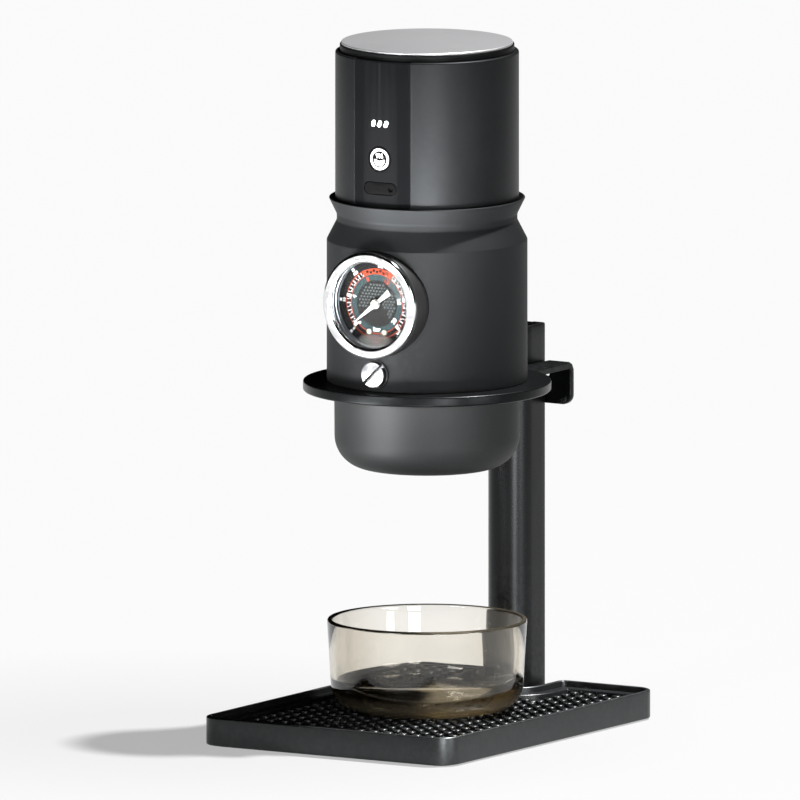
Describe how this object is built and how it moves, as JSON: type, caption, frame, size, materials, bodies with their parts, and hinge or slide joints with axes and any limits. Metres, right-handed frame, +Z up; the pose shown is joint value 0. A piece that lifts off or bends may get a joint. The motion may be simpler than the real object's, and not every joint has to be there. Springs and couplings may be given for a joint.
{
  "type": "portable espresso maker",
  "caption": "Upright battery espresso maker with a pressure gauge, held in a ring on a column over a drip tray, with a smoked glass cup.",
  "frame": {"origin": "on the machine's vertical axis, in the plane that the base pad rests on", "axes": "+Z up, -Y towards the front where the gauge faces, +X to the right seen from the front"},
  "size_m": [0.1166, 0.1644, 0.2784],
  "materials": {
    "pad_rubber": "matt non-slip rubber",
    "plate_steel": "black coated steel sheet",
    "column_paint": "satin charcoal powder coat",
    "tray_paint": "satin charcoal powder coat with a fine grain",
    "mat_rubber": "black silicone, satin on the studs",
    "smoked_glass": "clear grey-brown tint, polished",
    "holder_paint": "black satin coat on steel sheet",
    "knob_black": "moulded, fine knurl",
    "nylon": "natural nylon",
    "shell_paint": "charcoal sand-texture coat",
    "bowl_paint": "charcoal sand-texture coat",
    "head_paint": "charcoal sand-texture coat",
    "alloy": "machined",
    "copper_alloy": "copper, bright",
    "brass": "brass, satin",
    "steel": "stainless steel, satin",
    "screw_steel": "zinc-plated steel",
    "screw_black": "black oxide",
    "turned_steel": "bright turned face",
    "red_silicone": "red silicone",
    "black_rubber": "black nitrile",
    "gauge_black": "black satin",
    "chrome": "polished chrome",
    "silver_ring": "satin silver",
    "gauge_glass": "clear, polished",
    "dial_print": "matt black with plain printed scales",
    "cream_paint": "cream paint on small screw heads",
    "needle_paint": "off-white paint",
    "panel_gloss": "black, semi-gloss",
    "led_lens": "clear white light pipe",
    "button_black": "black with a white ring and a plain cup sign",
    "cover_rubber": "black soft rubber",
    "dark_plastic": "moulded, matt",
    "board": "green solder mask",
    "cell_wrap": "blue shrink wrap",
    "cap_black": "black, satin",
    "disc_satin": "bead-blasted satin, bare"
  },
  "bodies": {
    "stand": {"base_pad": "pad_rubber", "base_plate": "plate_steel", "column": "column_paint", "column_foot": "alloy", "column_screws": "screw_steel", "column_cap": "dark_plastic"},
    "tray": {"drip_tray": "tray_paint"},
    "mat": {"drip_mat": "mat_rubber"},
    "cup": {"glass_cup": "smoked_glass"},
    "holder": {"holder": "holder_paint"},
    "clamp_washer": {"clamp_washer": "nylon"},
    "clamp_screw": {"clamp_screw": "knob_black"},
    "machine": {"body_shell": "shell_paint", "manifold": "alloy", "heater_plate": "copper_alloy", "tank_liner": "steel", "shower_screen": "steel", "screen_screw": "screw_steel", "group_seal": "red_silicone", "contact_rings": "brass", "body_screws": "screw_black", "gauge_housing": "gauge_black", "gauge_bezel": "chrome", "gauge_inner_ring": "silver_ring", "gauge_lens": "gauge_glass", "gauge_dial": "dial_print", "gauge_movement": "brass", "dial_screws": "cream_paint", "gauge_tube": "copper_alloy", "relief_spring": "steel", "relief_ball": "steel"},
    "needle": {"gauge_needle": "needle_paint"},
    "relief": {"relief_screw": "turned_steel"},
    "bowl_seal": {"bowl_seal": "black_rubber"},
    "bowl": {"brew_bowl": "bowl_paint", "filter_basket": "steel", "outlet": "turned_steel"},
    "head_seal": {"head_seal": "black_rubber"},
    "head": {"head_shell": "head_paint", "head_chassis": "dark_plastic", "chassis_screws": "screw_steel", "front_panel": "panel_gloss", "status_leds": "led_lens", "start_switch": "dark_plastic", "usb_socket": "steel", "circuit_board": "board", "contact_pins": "brass", "battery_cells": "cell_wrap", "battery_cradle": "dark_plastic", "pump_motor": "steel", "pump_housing": "alloy", "pump_cover": "alloy", "suction_tube": "steel", "delivery_tube": "steel", "top_cap": "cap_black", "top_disc": "disc_satin"},
    "button": {"start_button": "button_black"},
    "usb_cover": {"usb_cover": "cover_rubber"},
    "drive_gear": {"pump_drive_gear": "steel"},
    "driven_gear": {"pump_driven_gear": "steel"}
  },
  "joints": [
    {"name": "tray_lift", "type": "slide", "parent": "stand", "child": "tray", "axis": [0, 0, 1], "range_m": [0, 0.04]},
    {"name": "mat_lift", "type": "slide", "parent": "tray", "child": "mat", "axis": [0, 0, 1], "range_m": [0, 0.02]},
    {"name": "cup_out", "type": "slide", "parent": "mat", "child": "cup", "axis": [0, -0.978, 0.2086], "range_m": [0, 0.16]},
    {"name": "holder_height", "type": "slide", "parent": "stand", "child": "holder", "axis": [0, 0, 1], "range_m": [-0.03, 0.01]},
    {"name": "clamp_travel", "type": "slide", "parent": "holder", "child": "clamp_washer", "axis": [0, 1, 0], "range_m": [0, 0.0016]},
    {"name": "clamp_turn", "type": "hinge", "parent": "clamp_washer", "child": "clamp_screw", "pos_m": [0, 0.0791, 0.129], "axis": [0, 1, 0], "range_deg": [0, 720.01]},
    {"name": "machine_lift", "type": "slide", "parent": "holder", "child": "machine", "axis": [0, 0, 1], "range_m": [0, 0.05]},
    {"name": "needle_sweep", "type": "hinge", "parent": "machine", "child": "needle", "pos_m": [0, -0.0397, 0.1774], "axis": [0, 1, 0], "range_deg": [0, 265], "stiffness_Nm_per_rad": 0.0002},
    {"name": "relief_turn", "type": "hinge", "parent": "machine", "child": "relief", "pos_m": [0, -0.04, 0.1491], "axis": [0, 1, 0], "range_deg": [-360, 0]},
    {"name": "bowl_drop", "type": "slide", "parent": "machine", "child": "bowl_seal", "axis": [0, 0, -1], "range_m": [0, 0.04]},
    {"name": "bowl_turn", "type": "hinge", "parent": "bowl_seal", "child": "bowl", "pos_m": [0, 0, 0.145], "axis": [0, 0, 1], "range_deg": [0, 40]},
    {"name": "head_lift", "type": "slide", "parent": "machine", "child": "head_seal", "axis": [0, 0, 1], "range_m": [0, 0.05]},
    {"name": "head_turn", "type": "hinge", "parent": "head_seal", "child": "head", "pos_m": [0, 0, 0.21], "axis": [0, 0, 1], "range_deg": [-35, 0]},
    {"name": "button_press", "type": "slide", "parent": "head", "child": "button", "axis": [0, 1, 0], "range_m": [0, 0.0005], "stiffness_N_per_m": 400},
    {"name": "cover_open", "type": "hinge", "parent": "head", "child": "usb_cover", "pos_m": [-0.0075, -0.03582, 0.2235], "axis": [0, 0, -1], "range_deg": [0, 100]},
    {"name": "drive_spin", "type": "hinge", "parent": "head", "child": "drive_gear", "pos_m": [0, -0.014, 0.22], "axis": [0, 0, 1], "continuous": true},
    {"name": "driven_spin", "type": "hinge", "parent": "head", "child": "driven_gear", "pos_m": [0.0121, -0.014, 0.22], "axis": [0, 0, 1], "continuous": true}
  ],
  "couplings": [
    {"joint": "clamp_turn", "follows": "clamp_travel", "rad_per_m": 7854},
    {"joint": "driven_spin", "follows": "drive_spin", "ratio": -1}
  ]
}
